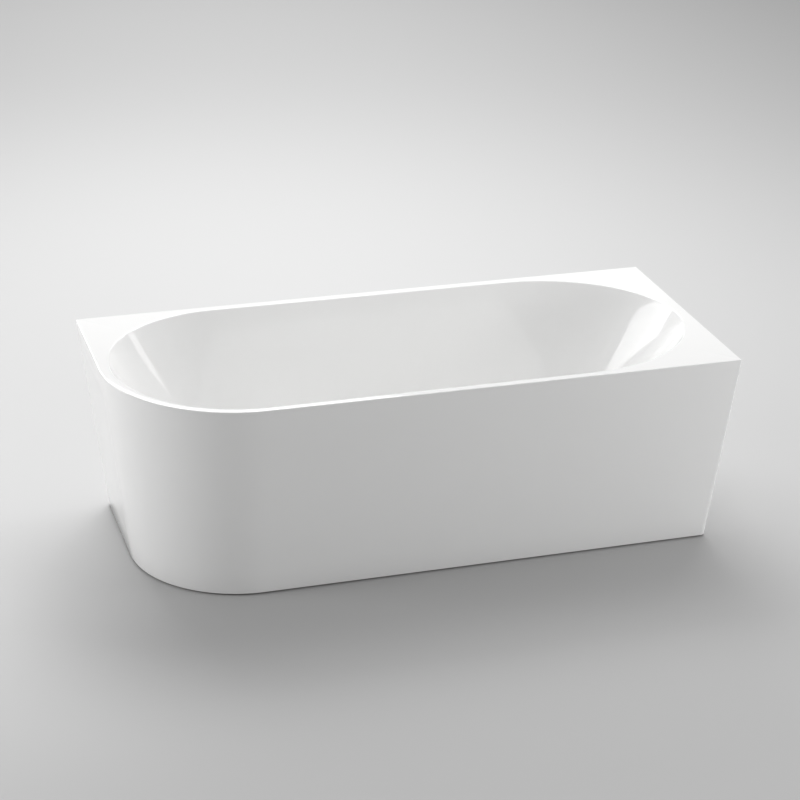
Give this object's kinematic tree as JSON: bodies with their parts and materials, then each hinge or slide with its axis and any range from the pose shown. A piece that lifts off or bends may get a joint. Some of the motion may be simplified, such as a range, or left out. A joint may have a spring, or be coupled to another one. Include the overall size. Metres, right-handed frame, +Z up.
{
  "type": "corner bathtub",
  "caption": "Freestanding acrylic corner bathtub with one round front corner, double skin tapering to the floor, flat rim, click-clack waste, overflow slot and levelling feet.",
  "frame": {"origin": "on the floor under the middle of the rim's outline", "axes": "+X along the length towards the side wall, +Y towards the back wall, +Z up"},
  "size_m": [1.6992, 0.7492, 0.56],
  "materials": {
    "acrylic": "glossy white acrylic",
    "board": "raw chipboard",
    "frame_steel": "galvanised",
    "chrome": "polished chrome",
    "white_plastic": "moulded satin",
    "rubber": "matte",
    "brass": "turned",
    "foot_steel": "zinc plated",
    "foot_plastic": "moulded matte"
  },
  "bodies": {
    "bath": {"base_board": "board", "basin_shell": "acrylic", "frame_cross_left": "frame_steel", "frame_cross_middle": "frame_steel", "frame_cross_right": "frame_steel", "frame_rail_back": "frame_steel", "frame_rail_front": "frame_steel", "overflow_body": "white_plastic", "overflow_gasket": "rubber", "overflow_nut": "white_plastic", "overflow_pipe": "white_plastic", "overflow_trim": "chrome", "plug_cartridge": "brass", "skirt_batten": "board", "skirt_brackets": "frame_steel", "skirt_shell": "acrylic", "trap_body": "white_plastic", "trap_inlet_nut": "white_plastic", "trap_outlet_nut": "white_plastic", "waste_body": "white_plastic", "waste_flange": "chrome", "waste_gasket_lower": "rubber", "waste_gasket_upper": "rubber"},
    "pad_1": {"foot_pad_1": "foot_plastic"},
    "stud_1": {"foot_stud_1": "foot_steel"},
    "pad_2": {"foot_pad_2": "foot_plastic"},
    "stud_2": {"foot_stud_2": "foot_steel"},
    "pad_3": {"foot_pad_3": "foot_plastic"},
    "stud_3": {"foot_stud_3": "foot_steel"},
    "pad_4": {"foot_pad_4": "foot_plastic"},
    "stud_4": {"foot_stud_4": "foot_steel"},
    "pad_5": {"foot_pad_5": "foot_plastic"},
    "stud_5": {"foot_stud_5": "foot_steel"},
    "pad_6": {"foot_pad_6": "foot_plastic"},
    "stud_6": {"foot_stud_6": "foot_steel"},
    "plug": {"plug_cap": "chrome", "plug_seal": "rubber", "plug_stem": "brass"}
  },
  "joints": [
    {"name": "plug_slide", "type": "slide", "parent": "bath", "child": "plug", "axis": [0, 0, 1], "range_m": [-0.0095, 0], "stiffness_N_per_m": 400, "springref_m": 0.006},
    {"name": "foot_1_lift", "type": "slide", "parent": "bath", "child": "pad_1", "axis": [0, 0, -1], "range_m": [0, 0.025]},
    {"name": "foot_1_turn", "type": "hinge", "parent": "pad_1", "child": "stud_1", "pos_m": [-0.45, -0.21547, 0.08], "axis": [0, 0, -1], "range_deg": [0, 5143.5]},
    {"name": "foot_2_lift", "type": "slide", "parent": "bath", "child": "pad_2", "axis": [0, 0, -1], "range_m": [0, 0.025]},
    {"name": "foot_2_turn", "type": "hinge", "parent": "pad_2", "child": "stud_2", "pos_m": [-0.45, 0.21547, 0.08], "axis": [0, 0, -1], "range_deg": [0, 5143.5]},
    {"name": "foot_3_lift", "type": "slide", "parent": "bath", "child": "pad_3", "axis": [0, 0, -1], "range_m": [0, 0.025]},
    {"name": "foot_3_turn", "type": "hinge", "parent": "pad_3", "child": "stud_3", "pos_m": [0.15, -0.21547, 0.08], "axis": [0, 0, -1], "range_deg": [0, 5143.5]},
    {"name": "foot_4_lift", "type": "slide", "parent": "bath", "child": "pad_4", "axis": [0, 0, -1], "range_m": [0, 0.025]},
    {"name": "foot_4_turn", "type": "hinge", "parent": "pad_4", "child": "stud_4", "pos_m": [0.15, 0.21547, 0.08], "axis": [0, 0, -1], "range_deg": [0, 5143.5]},
    {"name": "foot_5_lift", "type": "slide", "parent": "bath", "child": "pad_5", "axis": [0, 0, -1], "range_m": [0, 0.025]},
    {"name": "foot_5_turn", "type": "hinge", "parent": "pad_5", "child": "stud_5", "pos_m": [0.47, -0.21547, 0.08], "axis": [0, 0, -1], "range_deg": [0, 5143.5]},
    {"name": "foot_6_lift", "type": "slide", "parent": "bath", "child": "pad_6", "axis": [0, 0, -1], "range_m": [0, 0.025]},
    {"name": "foot_6_turn", "type": "hinge", "parent": "pad_6", "child": "stud_6", "pos_m": [0.47, 0.21547, 0.08], "axis": [0, 0, -1], "range_deg": [0, 5143.5]}
  ],
  "couplings": [
    {"joint": "foot_1_turn", "follows": "foot_1_lift", "rad_per_m": 3590.4},
    {"joint": "foot_2_turn", "follows": "foot_2_lift", "rad_per_m": 3590.4},
    {"joint": "foot_3_turn", "follows": "foot_3_lift", "rad_per_m": 3590.4},
    {"joint": "foot_4_turn", "follows": "foot_4_lift", "rad_per_m": 3590.4},
    {"joint": "foot_5_turn", "follows": "foot_5_lift", "rad_per_m": 3590.4},
    {"joint": "foot_6_turn", "follows": "foot_6_lift", "rad_per_m": 3590.4}
  ]
}
